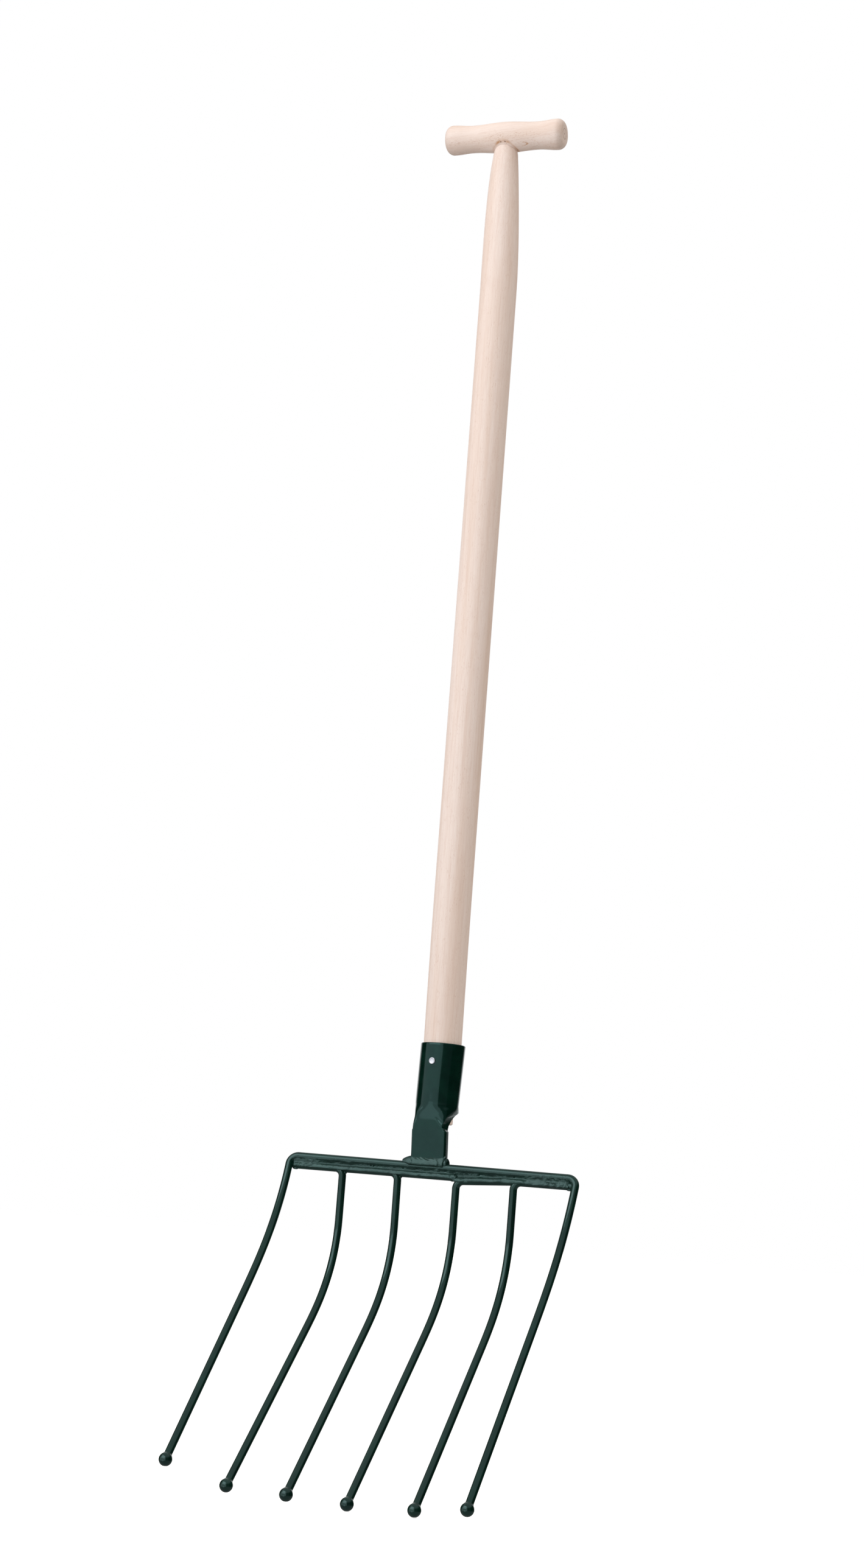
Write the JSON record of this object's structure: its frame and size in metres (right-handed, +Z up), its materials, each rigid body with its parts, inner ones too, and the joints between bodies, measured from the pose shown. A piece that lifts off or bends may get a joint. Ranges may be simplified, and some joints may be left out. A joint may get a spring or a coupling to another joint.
{
  "type": "pitchfork",
  "caption": "Long fork with a turned wooden T-handle, a pressed socket and a row of forward-swept round tines with ball tips, for lifting roots and litter without piercing them.",
  "frame": {"origin": "middle of the bottom of the fork's box, at the height of the lowest ball tip", "axes": "+Z up along the straight shaft towards the T-handle; +X along the handle and the cross bar; the tines sweep forward, towards -Y"},
  "size_m": [0.3018, 0.2916, 1.3681],
  "materials": {
    "beech": "pale steamed beech, sanded, unvarnished",
    "green_enamel": "dark green gloss enamel",
    "zinc_plate": "bright zinc plate",
    "pin_steel": "dull sunk steel pins"
  },
  "bodies": {
    "root": {"ball_1": "green_enamel", "ball_2": "green_enamel", "ball_3": "green_enamel", "ball_4": "green_enamel", "ball_5": "green_enamel", "ball_6": "green_enamel", "filler_rod": "green_enamel", "frame_rod": "green_enamel", "grip": "beech", "grip_brad_left": "pin_steel", "grip_brad_right": "pin_steel", "seam_weld": "green_enamel", "shaft": "beech", "socket": "green_enamel", "socket_nail": "zinc_plate", "tine_2": "green_enamel", "tine_3": "green_enamel", "tine_4": "green_enamel", "tine_5": "green_enamel", "tongue_weld_front": "green_enamel", "tongue_weld_rear": "green_enamel"}
  },
  "joints": []
}
